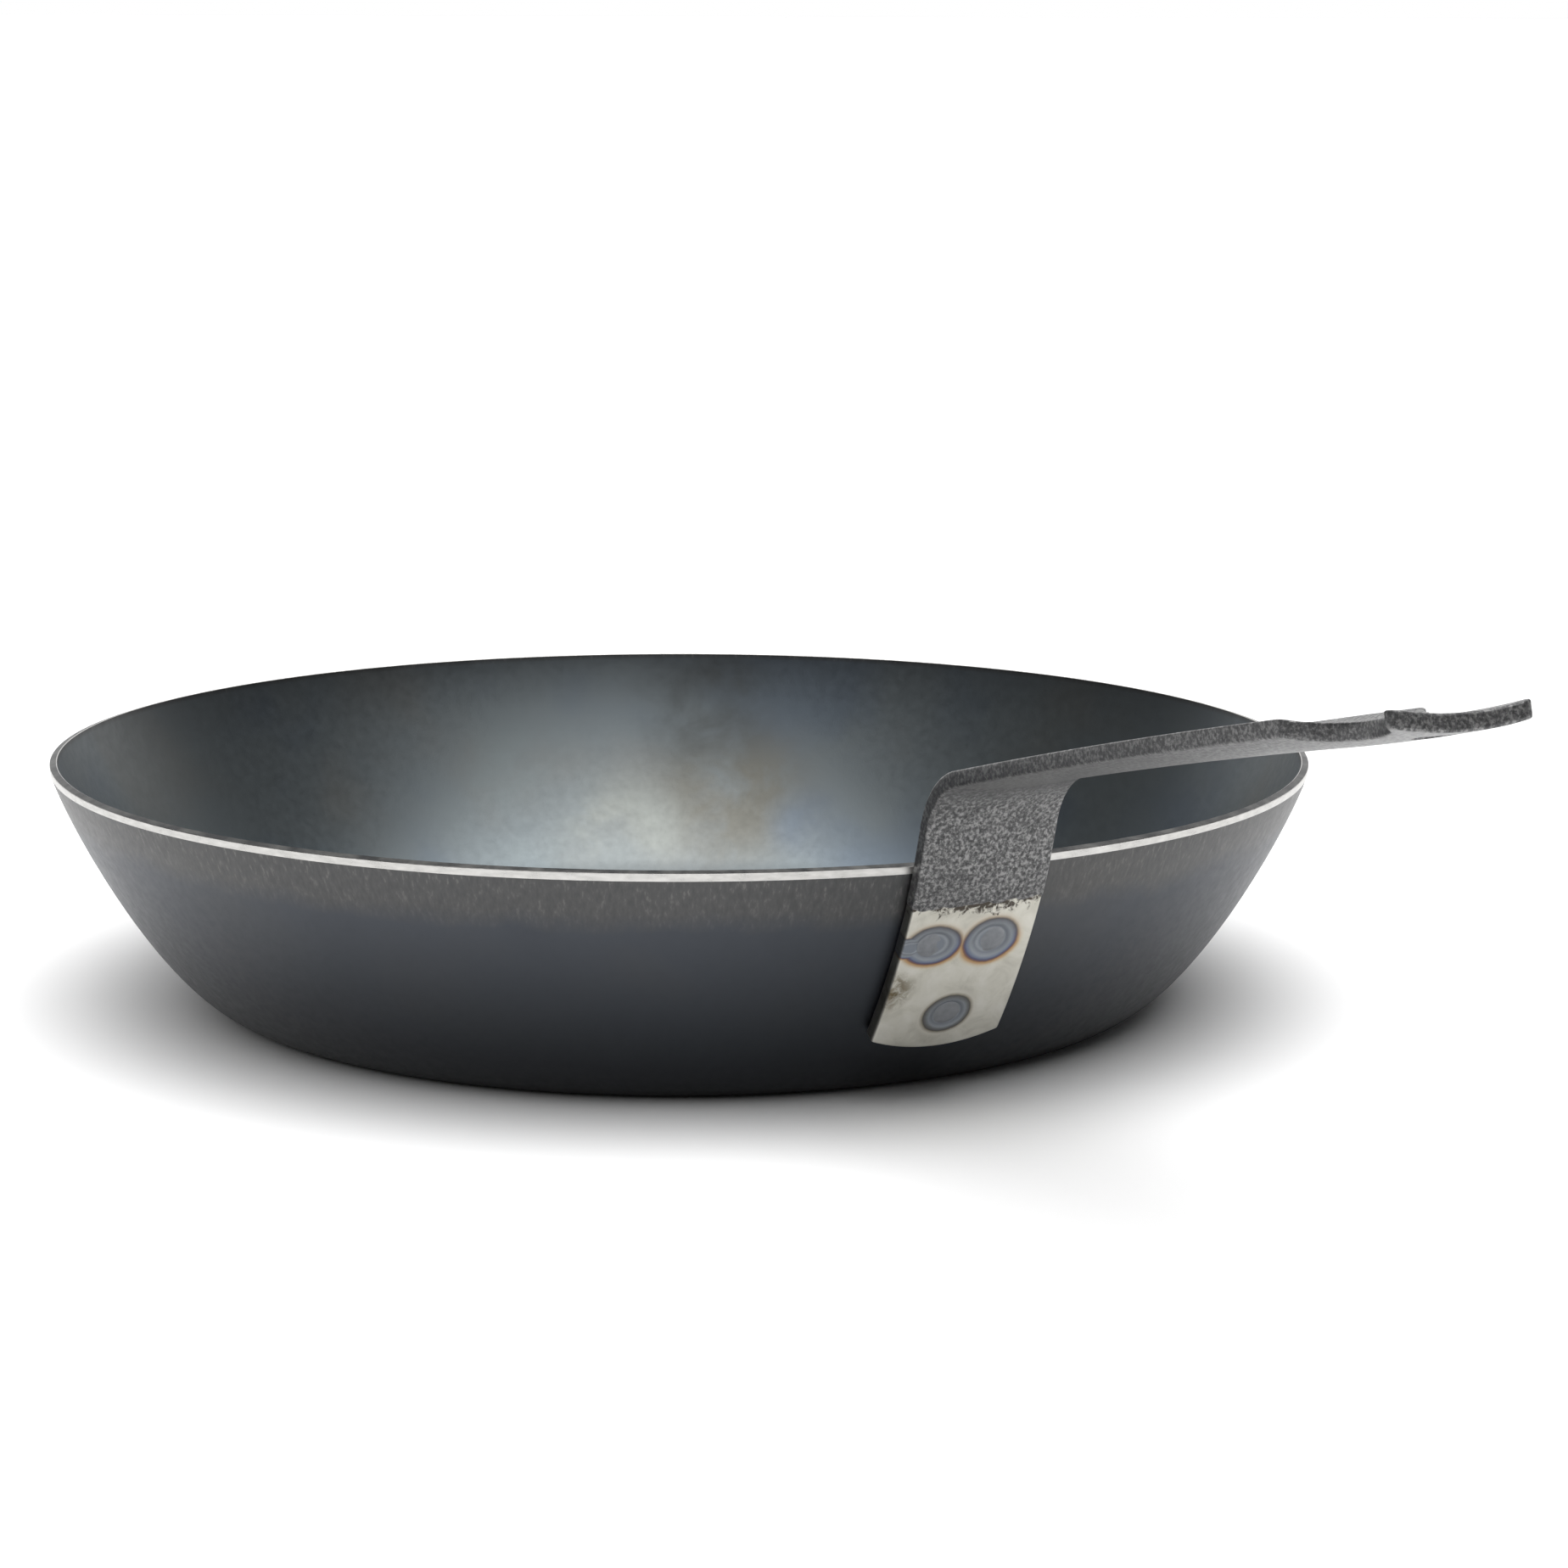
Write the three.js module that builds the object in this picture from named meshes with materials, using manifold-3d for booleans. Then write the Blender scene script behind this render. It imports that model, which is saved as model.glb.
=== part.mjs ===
// A shallow round pan pressed from steel sheet, with a strap handle spot-welded to its wall.
//
// Units are millimetres. +Z is up, the pan stands on z = 0, and the Z axis is the pan's axis.
// The handle leaves the pan along +X and lies evenly on both sides of y = 0.

import * as THREE from 'three';
import { mergeVertices } from 'three/addons/utils/BufferGeometryUtils.js';
import Module from 'manifold-3d';

const wasm = await Module();
wasm.setup();

// ---- Driving dimensions -------------------------------------------------------------------

const SHEET = 2; // thickness of the pressed sheet
const BASE_RADIUS = 99.5; // where the flat base starts to turn up
const RIM_RADIUS = 140; // outer edge of the rim
const RIM_HEIGHT = 54; // height of that outer edge
const RIM_SLOPE = THREE.MathUtils.degToRad(72.6); // the wall's slope at the rim
const BASE_EASE = 14.2; // how far the wall's curve leans out along the table
const RIM_EASE = 15.1; // how far it keeps the rim's slope below the rim
const RIM_BEVEL_HEIGHT = 1.5; // ground bevel on the outside of the rim
const RIM_BEVEL_DEPTH = 0.35;
const RIM_CORNER = 0.15; // small chamfer on the inside of the rim

const WALL_STEPS = 12; // straight steps along the wall's curve
const ROUND_STEPS = 96; // facets round the pan

const STRAP = 3.2; // thickness of the handle's strip
const STRAP_WIDTH = 29;
const JOINT_GAP = 0.3; // from the pan's wall to the strip

// The handle is laid out along one line, its face towards the pan. Distances along it are
// counted from the rim: down the wall is negative, out to the tip is positive.
const TANG_LENGTH = 41.8; // at the strip's corners
const TANG_SAG = 3.3; // the tang's lower edge bulges this far below its corners
const TANG_FADE = 9; // and the bulge dies out over this length
const RISE = 9.4; // straight run above the rim
const BEND_RADIUS = 14.6; // inside the bend, on the underside
const NECK_SLOPE = THREE.MathUtils.degToRad(13.8);
const GRIP_SLOPE = THREE.MathUtils.degToRad(11.7);
const TIP_SLOPE = THREE.MathUtils.degToRad(15);
const NECK_LENGTH = 115;
const HEAD_LENGTH = 33.5;

// The strip is a shallow trough: its edges stand this much above its middle.
const TROUGH_AT_NECK = 0.9;
const TROUGH_AT_GRIP = 2.7;
const TROUGH_AT_TIP = 1.6;

// Outline of the head, as half-widths.
const SHOULDER_HALF = 12;
const WAIST_HALF = 7.6; // what the waist's curve leans towards
const TIP_HALF = 13.8;
const SHOULDER_LENGTH = 6;
const TIP_CORNER = 2.2;
const HOLE_RADIUS = 3.75;
const HOLE_FROM_TIP = 9;

// Spot welds, as places on the tang: distance below the rim, and sideways.
const NUGGET_RADIUS = 3.4;
const NUGGET_DEPTH_IN_STRAP = 1.1; // how far a nugget's pocket goes into the strip
const NUGGET_DEPTH_IN_WALL = 0.9; // and into the pan's wall
const NUGGET_CLEARANCE = 0.3;
const WELDS = {
  weld_nugget_upper_left: { down: 16.7, side: -8 },
  weld_nugget_upper_right: { down: 16.7, side: 4.8 },
  weld_nugget_lower: { down: 35.3, side: 0.2 },
};

// ---- Materials ----------------------------------------------------------------------------

const bluedSteel = new THREE.MeshStandardMaterial({ color: 0x4a4f55, roughness: 0.42, metalness: 0.9 });
const hammertone = new THREE.MeshStandardMaterial({ color: 0x6c6e70, roughness: 0.5, metalness: 0.4 });
const weldSteel = new THREE.MeshStandardMaterial({ color: 0x7a7f88, roughness: 0.45, metalness: 1.0 });

// ---- Small helpers ------------------------------------------------------------------------

function named(name, geometry, material) {
  const mesh = new THREE.Mesh(geometry, material);
  mesh.name = name;
  return mesh;
}

function toSolid(geometry) {
  const bare = geometry.clone();
  bare.deleteAttribute('normal');
  bare.deleteAttribute('uv');
  const merged = mergeVertices(bare, 1e-4);
  return new wasm.Manifold(
    new wasm.Mesh({
      numProp: 3,
      vertProperties: new Float32Array(merged.attributes.position.array),
      triVerts: new Uint32Array(merged.index.array),
    }),
  );
}

function toGeometry(solid) {
  const mesh = solid.getMesh();
  const geometry = new THREE.BufferGeometry();
  geometry.setAttribute('position', new THREE.BufferAttribute(mesh.vertProperties, 3));
  geometry.setIndex(new THREE.BufferAttribute(mesh.triVerts, 1));
  geometry.computeVertexNormals();
  return geometry;
}

function cut(geometry, cutters) {
  const solid = cutters.reduce((rest, cutter) => rest.subtract(toSolid(cutter)), toSolid(geometry));
  return toGeometry(solid);
}

// ---- The pan's wall, as a curve in the plane of radius and height --------------------------

const wallCurve = new THREE.CubicBezierCurve(
  new THREE.Vector2(BASE_RADIUS, 0),
  new THREE.Vector2(BASE_RADIUS + BASE_EASE, 0),
  new THREE.Vector2(
    RIM_RADIUS - RIM_EASE * Math.cos(RIM_SLOPE),
    RIM_HEIGHT - RIM_EASE * Math.sin(RIM_SLOPE),
  ),
  new THREE.Vector2(RIM_RADIUS, RIM_HEIGHT),
);
const wallLength = wallCurve.getLength();

// The point at a share of the wall's length, moved inwards from the outer face.
function wallPoint(share, inwards) {
  const point = wallCurve.getPointAt(share);
  const slope = wallCurve.getTangentAt(share);
  return new THREE.Vector2(point.x - slope.y * inwards, point.y + slope.x * inwards);
}

function panBody() {
  const bevelShare = 1 - RIM_BEVEL_HEIGHT / wallLength;
  const chamferShare = 1 - RIM_CORNER / wallLength;
  const profile = [new THREE.Vector2(0, 0)];
  for (let step = 0; step <= WALL_STEPS; step += 1) {
    profile.push(wallPoint((bevelShare * step) / WALL_STEPS, 0));
  }
  profile.push(wallPoint(1, RIM_BEVEL_DEPTH));
  profile.push(wallPoint(1, SHEET - RIM_CORNER));
  profile.push(wallPoint(chamferShare, SHEET));
  for (let step = WALL_STEPS; step >= 0; step -= 1) {
    profile.push(wallPoint((bevelShare * step) / WALL_STEPS, SHEET));
  }
  profile.push(new THREE.Vector2(0, SHEET));
  return new THREE.LatheGeometry(profile, ROUND_STEPS).rotateX(Math.PI / 2);
}

// ---- The handle's line ---------------------------------------------------------------------

const bendTurn = RIM_SLOPE - NECK_SLOPE;
const bendLength = bendTurn * (BEND_RADIUS + STRAP);
const bendEnd = RISE + bendLength;
const neckEnd = bendEnd + NECK_LENGTH;
const tip = neckEnd + HEAD_LENGTH;

const runs = [
  { length: RISE, from: RIM_SLOPE, to: RIM_SLOPE },
  { length: bendLength, from: RIM_SLOPE, to: NECK_SLOPE },
  { length: NECK_LENGTH, from: NECK_SLOPE, to: GRIP_SLOPE },
  { length: HEAD_LENGTH, from: GRIP_SLOPE, to: TIP_SLOPE },
];

// Moves a point along a circular arc that turns from one slope to another.
function followArc(start, length, from, to) {
  const half = (to - from) / 2;
  const chord = Math.abs(half) < 1e-9 ? length : (length * Math.sin(half)) / half;
  const middle = (from + to) / 2;
  return new THREE.Vector2(start.x + chord * Math.cos(middle), start.y + chord * Math.sin(middle));
}

// The middle of the strip's pan-side face at a distance along the handle, and its slope there.
function lineAt(distance) {
  if (distance <= 0) {
    const share = 1 + distance / wallLength;
    const tangent = wallCurve.getTangentAt(share);
    return { point: wallPoint(share, -JOINT_GAP), slope: Math.atan2(tangent.y, tangent.x) };
  }
  let point = wallPoint(1, -JOINT_GAP);
  let slope = RIM_SLOPE;
  let left = distance;
  for (const run of runs) {
    const length = Math.min(left, run.length);
    const to = run.from + ((run.to - run.from) * length) / run.length;
    point = followArc(point, length, run.from, to);
    slope = to;
    left -= length;
    if (left <= 0) break;
  }
  return { point, slope };
}

function mix(from, to, share) {
  return from + (to - from) * THREE.MathUtils.clamp(share, 0, 1);
}

// How far the strip stands above its middle, at a distance along it and out to one side.
function troughRise(distance, side) {
  const alongNeck = (distance - bendEnd) / NECK_LENGTH;
  const alongHead = (distance - neckEnd) / HEAD_LENGTH;
  const atNeck = mix(TROUGH_AT_NECK, TROUGH_AT_GRIP, alongNeck);
  const rise = mix(atNeck, TROUGH_AT_TIP, alongHead);
  return rise * (side / (STRAP_WIDTH / 2)) ** 2;
}

// A point of the strip: distance along it, out to one side, and depth below its pan-side face.
// The tang bends round the pan's wall, and the rest is a trough.
function strapPoint(distance, side, depth) {
  const { point, slope } = lineAt(distance);
  const radius = point.x + depth * Math.sin(slope);
  const height = point.y - depth * Math.cos(slope);
  const wrap = radius - Math.sqrt(radius * radius - side * side);
  const rise = troughRise(distance, side);
  const share = THREE.MathUtils.smoothstep(distance, 0, bendEnd);
  const wrapped = wrap * (1 - share);
  const lifted = rise * share;
  return new THREE.Vector3(
    radius - wrapped - lifted * Math.sin(slope),
    side,
    height + lifted * Math.cos(slope),
  );
}

// ---- The handle's outline -------------------------------------------------------------------

// Half the strip's width against distance, from the shoulder to the tip.
function headOutline() {
  const outline = new THREE.Path();
  outline.moveTo(neckEnd, STRAP_WIDTH / 2);
  outline.bezierCurveTo(
    neckEnd + SHOULDER_LENGTH / 2, STRAP_WIDTH / 2,
    neckEnd + SHOULDER_LENGTH / 2, SHOULDER_HALF,
    neckEnd + SHOULDER_LENGTH, SHOULDER_HALF,
  );
  outline.bezierCurveTo(
    neckEnd + 2 * SHOULDER_LENGTH, WAIST_HALF,
    tip - 3 * TIP_CORNER, WAIST_HALF,
    tip - TIP_CORNER, TIP_HALF,
  );
  outline.quadraticCurveTo(tip, TIP_HALF, tip, TIP_HALF - TIP_CORNER);
  return outline.getPoints(7);
}

// The rows across the strip, each with its distance and half-width.
function strapRows() {
  const rows = [];
  const addRun = (from, to, count) => {
    for (let step = 0; step < count; step += 1) {
      rows.push({ distance: from + ((to - from) * step) / count, half: STRAP_WIDTH / 2 });
    }
  };
  addRun(-TANG_LENGTH, -TANG_LENGTH + TANG_FADE, 3);
  addRun(-TANG_LENGTH + TANG_FADE, 0, 9);
  addRun(0, RISE, 2);
  addRun(RISE, bendEnd, 9);
  addRun(bendEnd, neckEnd, 12);
  headOutline().forEach((point) => rows.push({ distance: point.x, half: point.y }));
  return rows;
}

function strap() {
  const COLUMNS = 10;
  const rows = strapRows();
  const positions = [];
  const indices = [];
  const layerSize = rows.length * (COLUMNS + 1);
  for (const depth of [0, STRAP]) {
    for (const row of rows) {
      const fade = 1 - THREE.MathUtils.clamp((row.distance + TANG_LENGTH) / TANG_FADE, 0, 1);
      for (let column = 0; column <= COLUMNS; column += 1) {
        const across = (2 * column) / COLUMNS - 1;
        const sag = TANG_SAG * (1 - across * across) * fade;
        positions.push(...strapPoint(row.distance - sag, across * row.half, depth).toArray());
      }
    }
  }
  const at = (layer, row, column) => layer * layerSize + row * (COLUMNS + 1) + column;
  const quad = (a, b, c, d) => indices.push(a, b, c, a, c, d);
  const last = rows.length - 1;
  for (let row = 0; row < last; row += 1) {
    for (let column = 0; column < COLUMNS; column += 1) {
      quad(at(0, row, column), at(0, row + 1, column), at(0, row + 1, column + 1), at(0, row, column + 1));
      quad(at(1, row, column), at(1, row, column + 1), at(1, row + 1, column + 1), at(1, row + 1, column));
    }
    quad(at(0, row, 0), at(1, row, 0), at(1, row + 1, 0), at(0, row + 1, 0));
    quad(at(0, row, COLUMNS), at(0, row + 1, COLUMNS), at(1, row + 1, COLUMNS), at(1, row, COLUMNS));
  }
  for (let column = 0; column < COLUMNS; column += 1) {
    quad(at(0, 0, column), at(0, 0, column + 1), at(1, 0, column + 1), at(1, 0, column));
    quad(at(0, last, column), at(1, last, column), at(1, last, column + 1), at(0, last, column + 1));
  }
  const geometry = new THREE.BufferGeometry();
  geometry.setAttribute('position', new THREE.Float32BufferAttribute(positions, 3));
  geometry.setIndex(indices);
  return geometry;
}

// A round bar that crosses the strip at a place on it, from a depth to a deeper one.
function barAcross(distance, side, radius, fromDepth, toDepth, sides) {
  const start = strapPoint(distance, side, fromDepth);
  const end = strapPoint(distance, side, toDepth);
  const direction = end.clone().sub(start);
  const bar = new THREE.CylinderGeometry(radius, radius, direction.length(), sides);
  const turn = new THREE.Quaternion().setFromUnitVectors(
    new THREE.Vector3(0, 1, 0),
    direction.clone().normalize(),
  );
  const middle = start.clone().add(end).multiplyScalar(0.5);
  return bar.applyQuaternion(turn).translate(middle.x, middle.y, middle.z);
}

function hangingHole() {
  return barAcross(tip - HOLE_FROM_TIP, 0, HOLE_RADIUS, -STRAP, 2 * STRAP, 32);
}

// ---- Spot welds -----------------------------------------------------------------------------

const wallSide = -(JOINT_GAP + NUGGET_DEPTH_IN_WALL);

function weldPocket({ down, side }) {
  const radius = NUGGET_RADIUS + NUGGET_CLEARANCE;
  return barAcross(-down, side, radius, wallSide, NUGGET_DEPTH_IN_STRAP, 24);
}

function weldNugget({ down, side }) {
  const inner = wallSide + NUGGET_CLEARANCE;
  const outer = NUGGET_DEPTH_IN_STRAP - NUGGET_CLEARANCE;
  return barAcross(-down, side, NUGGET_RADIUS, inner, outer, 24);
}

// ---- The whole part -------------------------------------------------------------------------

const pockets = Object.values(WELDS).map(weldPocket);
const part = new THREE.Group();

part.add(named('pan_body', cut(panBody(), pockets), bluedSteel));
part.add(named('strap_handle', cut(strap(), [...pockets, hangingHole()]), hammertone));
for (const [name, place] of Object.entries(WELDS)) {
  part.add(named(name, weldNugget(place), weldSteel));
}

export default part;
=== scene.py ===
import math

import bmesh
import bpy
import numpy as np
from mathutils import Matrix, Vector, noise


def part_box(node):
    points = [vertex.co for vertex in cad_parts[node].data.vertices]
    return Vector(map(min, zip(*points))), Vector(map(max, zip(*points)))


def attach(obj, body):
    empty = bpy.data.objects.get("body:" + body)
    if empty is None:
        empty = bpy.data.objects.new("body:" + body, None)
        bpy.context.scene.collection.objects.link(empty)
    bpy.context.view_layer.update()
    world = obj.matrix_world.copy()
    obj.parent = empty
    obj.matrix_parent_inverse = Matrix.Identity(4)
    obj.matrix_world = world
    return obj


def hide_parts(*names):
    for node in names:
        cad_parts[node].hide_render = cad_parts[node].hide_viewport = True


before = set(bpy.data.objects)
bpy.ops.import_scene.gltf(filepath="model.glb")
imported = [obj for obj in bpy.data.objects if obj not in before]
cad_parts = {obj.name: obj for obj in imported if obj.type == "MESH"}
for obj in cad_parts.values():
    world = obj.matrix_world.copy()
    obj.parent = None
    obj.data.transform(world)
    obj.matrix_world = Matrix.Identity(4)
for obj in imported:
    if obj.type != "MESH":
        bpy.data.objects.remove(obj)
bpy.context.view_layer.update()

# ---- Sizes, in metres, in the CAD frame ----------------------------------------------------
# The pan stands on z = 0 with its axis on Z, and the handle leaves it along +X.

MM = 0.001
PAN_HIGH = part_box("pan_body")[1]
STRAP_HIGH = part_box("strap_handle")[1]

SHEET = 2 * MM
BASE_RADIUS = 99.5 * MM
RIM_BEVEL_DEPTH = 0.35 * MM
RIM_BEVEL_HEIGHT = 1.5 * MM
RIM_CORNER = 0.15 * MM
RIM_ROUND = 0.1 * MM  # the small rounding between the bevel and the top of the rim
RIM_SLOPE = math.radians(72.6)
RIM_RADIUS = PAN_HIGH[0] + RIM_BEVEL_DEPTH * math.sin(RIM_SLOPE)
RIM_HEIGHT = PAN_HIGH[2] - (SHEET - RIM_CORNER) * math.cos(RIM_SLOPE)
BASE_EASE = 14.2 * MM
RIM_EASE = 15.1 * MM

STRAP = 3.2 * MM
STRAP_HALF = STRAP_HIGH[1]
JOINT_GAP = 0.3 * MM
COATING = 0.12 * MM
EDGE_ROUND = 0.55 * MM

TANG_LENGTH = 41.8 * MM
TANG_SAG = 3.3 * MM
TANG_FADE = 9 * MM
RISE = 9.4 * MM
BEND_RADIUS = 14.6 * MM
NECK_LENGTH = 115 * MM
HEAD_LENGTH = 33.5 * MM
NECK_SLOPE = math.radians(13.8)
GRIP_SLOPE = math.radians(11.7)
TIP_SLOPE = math.radians(15)

TROUGH_AT_NECK = 0.9 * MM
TROUGH_AT_GRIP = 2.7 * MM
TROUGH_AT_TIP = 1.6 * MM

SHOULDER_HALF = 12 * MM
WAIST_HALF = 7.6 * MM
TIP_HALF = 13.8 * MM
SHOULDER_LENGTH = 6 * MM
TIP_CORNER = 2.2 * MM
HOLE_RADIUS = 3.75 * MM
HOLE_FROM_TIP = 9 * MM
HOLE_FLARE = 0.5 * MM  # rounding of the hole's edges

# Spot welds: name of the CAD disc, distance below the rim, sideways place, and the tint's
# reach across and along the strip.
WELDS = [
    ("weld_nugget_upper_left", 16.7 * MM, -8.0 * MM, 6.1 * MM, 4.8 * MM),
    ("weld_nugget_upper_right", 16.6 * MM, 4.8 * MM, 6.1 * MM, 5.5 * MM),
    ("weld_nugget_lower", 35.3 * MM, 0.2 * MM, 5.4 * MM, 5.1 * MM),
]
CRATER_RADIUS = 3.2 * MM
CRATER_DEPTH = 0.28 * MM
CRATER_EDGE = 0.7 * MM  # width of the slope round a crater
CRATER_ACROSS, CRATER_ALONG = 0.6, 0.66  # a crater's size as parts of its tint's reach
LIP_HEIGHT = 0.07 * MM  # the raised ring round a crater
LIP_WIDTH = 0.35 * MM
LIP_PLACE = 1.28  # in crater radii
COATING_END = -7.6 * MM  # where the coating stops on the tang, along the strip
COATING_EDGE_FADE = 6 * MM
COATING_EDGE_LEAN = 0.03
COATING_EDGE_WAVES = [(420, 3.7, 0.9 * MM), (1300, 9.1, 0.35 * MM)]  # per metre, start, height
SMUDGE_DOWN = 28 * MM  # a brown smudge at the tang's left edge
SMUDGE_REACH = 6 * MM
TINT_TAIL = (16.9 * MM, -12.6 * MM, 4.6 * MM, 2.6 * MM)  # the tint that runs out to the side

# ---- The camera ----------------------------------------------------------------------------

VIEW_TURN = math.radians(63.74)  # how far round the pan's axis from -Y
CAMERA_SIDE = 28.3 * MM
CAMERA_BACK = 936.8 * MM
CAMERA_HEIGHT = 218.4 * MM
CAMERA_PITCH = math.radians(10.42)
CAMERA_YAW = math.radians(-0.32)
CAMERA_ROLL = math.radians(0.24)
CAMERA_LENS = 97.4  # mm, on a 36 mm sensor


def turned(x, y, z):
    """A place given as right of, behind and above the pan's centre in the camera's view."""
    return Matrix.Rotation(VIEW_TURN, 3, "Z") @ Vector((x, y, z))


def make_camera():
    pitch = Matrix.Rotation(math.pi / 2 - CAMERA_PITCH, 3, "X")
    yaw = Matrix.Rotation(VIEW_TURN - CAMERA_YAW, 3, "Z")
    roll = Matrix.Rotation(CAMERA_ROLL, 3, "Z")
    camera = bpy.data.objects.new("camera", bpy.data.cameras.new("camera"))
    camera.matrix_world = (yaw @ pitch @ roll).to_4x4()
    camera.location = turned(CAMERA_SIDE, -CAMERA_BACK, CAMERA_HEIGHT)
    camera.data.lens = CAMERA_LENS
    camera.data.sensor_width = 36
    bpy.context.collection.objects.link(camera)
    bpy.context.scene.camera = camera


# ---- The pan's wall ------------------------------------------------------------------------


def bezier(points, count):
    """Points along a Bezier curve of any order."""
    order = len(points) - 1
    made = []
    for step in range(count + 1):
        t = step / count
        weights = [
            math.comb(order, i) * (1 - t) ** (order - i) * t**i for i in range(order + 1)
        ]
        made.append(tuple(sum(w * p[axis] for w, p in zip(weights, points)) for axis in (0, 1)))
    return made


WALL = np.array(
    bezier(
        [
            (BASE_RADIUS, 0),
            (BASE_RADIUS + BASE_EASE, 0),
            (
                RIM_RADIUS - RIM_EASE * math.cos(RIM_SLOPE),
                RIM_HEIGHT - RIM_EASE * math.sin(RIM_SLOPE),
            ),
            (RIM_RADIUS, RIM_HEIGHT),
        ],
        600,
    )
)
WALL_STEPS = np.linalg.norm(np.diff(WALL, axis=0), axis=1)
WALL_RUN = np.concatenate([[0], np.cumsum(WALL_STEPS)])
WALL_LENGTH = WALL_RUN[-1]
WALL_SLOPE = np.arctan2(np.gradient(WALL[:, 1]), np.gradient(WALL[:, 0]))


def wall_point(run, inwards):
    """Radius and height of a point of the wall, and its slope, at a length up from the base."""
    slope = float(np.interp(run, WALL_RUN, WALL_SLOPE))
    radius = float(np.interp(run, WALL_RUN, WALL[:, 0])) - math.sin(slope) * inwards
    height = float(np.interp(run, WALL_RUN, WALL[:, 1])) + math.cos(slope) * inwards
    return radius, height, slope


# ---- The handle's strip --------------------------------------------------------------------

BEND_LENGTH = (RIM_SLOPE - NECK_SLOPE) * (BEND_RADIUS + STRAP)
BEND_END = RISE + BEND_LENGTH
NECK_END = BEND_END + NECK_LENGTH
TIP = NECK_END + HEAD_LENGTH
RUNS = [
    (RISE, RIM_SLOPE, RIM_SLOPE),
    (BEND_LENGTH, RIM_SLOPE, NECK_SLOPE),
    (NECK_LENGTH, NECK_SLOPE, GRIP_SLOPE),
    (HEAD_LENGTH, GRIP_SLOPE, TIP_SLOPE),
]


def follow_arc(x, z, length, start, end):
    """The end of a circular arc that turns from one slope to another."""
    half = (end - start) / 2
    chord = length if abs(half) < 1e-9 else length * math.sin(half) / half
    middle = (start + end) / 2
    return x + chord * math.cos(middle), z + chord * math.sin(middle)


def line_at(distance):
    """The middle of the strip's pan-side face, and its slope. Distance 0 is the rim."""
    if distance <= 0:
        return wall_point(WALL_LENGTH + distance, -JOINT_GAP)
    x, z, slope = wall_point(WALL_LENGTH, -JOINT_GAP)
    left = distance
    for length, start, end in RUNS:
        part = min(left, length)
        slope = start + (end - start) * part / length
        x, z = follow_arc(x, z, part, start, slope)
        left -= part
        if left <= 0:
            break
    if left > 0:
        x, z = follow_arc(x, z, left, slope, slope)
    return x, z, slope


def mix(start, end, share):
    return start + (end - start) * min(1, max(0, share))


def trough_rise(distance, side):
    at_neck = mix(TROUGH_AT_NECK, TROUGH_AT_GRIP, (distance - BEND_END) / NECK_LENGTH)
    rise = mix(at_neck, TROUGH_AT_TIP, (distance - NECK_END) / HEAD_LENGTH)
    return rise * (side / STRAP_HALF) ** 2


def strap_point(distance, side, depth):
    """A place in the strip: along it, sideways, and below its pan-side face."""
    x, z, slope = line_at(distance)
    radius = x + depth * math.sin(slope)
    height = z - depth * math.cos(slope)
    wrap = radius - math.sqrt(radius * radius - side * side)
    share = min(1, max(0, distance / BEND_END))
    share = share * share * (3 - 2 * share)
    lifted = trough_rise(distance, side) * share
    return Vector(
        (
            radius - wrap * (1 - share) - lifted * math.sin(slope),
            side,
            height + lifted * math.cos(slope),
        )
    )


def head_outline():
    """Distances and half-widths from the shoulder to the tip."""
    shoulder = bezier(
        [
            (NECK_END, STRAP_HALF),
            (NECK_END + SHOULDER_LENGTH / 2, STRAP_HALF),
            (NECK_END + SHOULDER_LENGTH / 2, SHOULDER_HALF),
            (NECK_END + SHOULDER_LENGTH, SHOULDER_HALF),
        ],
        16,
    )
    waist = bezier(
        [
            (NECK_END + SHOULDER_LENGTH, SHOULDER_HALF),
            (NECK_END + 2 * SHOULDER_LENGTH, WAIST_HALF),
            (TIP - 3 * TIP_CORNER, WAIST_HALF),
            (TIP - TIP_CORNER, TIP_HALF),
        ],
        40,
    )
    corner = bezier([(TIP - TIP_CORNER, TIP_HALF), (TIP, TIP_HALF), (TIP, TIP_HALF - TIP_CORNER)], 8)
    return shoulder + waist[1:] + corner[1:]


OUTLINE = np.array(head_outline())


def half_width(distance):
    return float(np.interp(distance, OUTLINE[:, 0], OUTLINE[:, 1]))


# ---- Mesh helpers --------------------------------------------------------------------------


def new_piece(name, vertices, faces, replaced, sharp=40):
    """A smooth-shaded piece on the root body, with hard edges where faces meet sharply."""
    mesh = bpy.data.meshes.new(name)
    mesh.from_pydata(vertices, [], faces)
    mesh.polygons.foreach_set("use_smooth", [True] * len(mesh.polygons))
    fixer = bmesh.new()
    fixer.from_mesh(mesh)
    bmesh.ops.recalc_face_normals(fixer, faces=fixer.faces)
    fixer.to_mesh(mesh)
    fixer.free()
    mesh.set_sharp_from_angle(angle=math.radians(sharp))
    piece = bpy.data.objects.new(name, mesh)
    bpy.context.collection.objects.link(piece)
    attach(piece, "root")
    if replaced:
        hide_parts(*replaced)
    return piece


def set_attribute(mesh, name, values):
    """Stores one number or one vector for each vertex, for the materials to read."""
    kind = "FLOAT" if np.ndim(values) == 1 else "FLOAT_VECTOR"
    key = "value" if kind == "FLOAT" else "vector"
    attribute = mesh.attributes.new(name, kind, "POINT")
    attribute.data.foreach_set(key, np.array(values, dtype=np.float32).ravel())


def apply_modifiers(piece):
    graph = bpy.context.evaluated_depsgraph_get()
    mesh = bpy.data.meshes.new_from_object(piece.evaluated_get(graph))
    piece.modifiers.clear()
    piece.data = mesh


# ---- The pan -------------------------------------------------------------------------------

ROUND_STEPS = 288
WALL_RINGS = 44
BASE_RINGS = 10
INSIDE, OUTSIDE = 1.0, 0.0
STEEL, GROUND, EDGE = 0, 1, 2  # the pan's material slots


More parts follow.
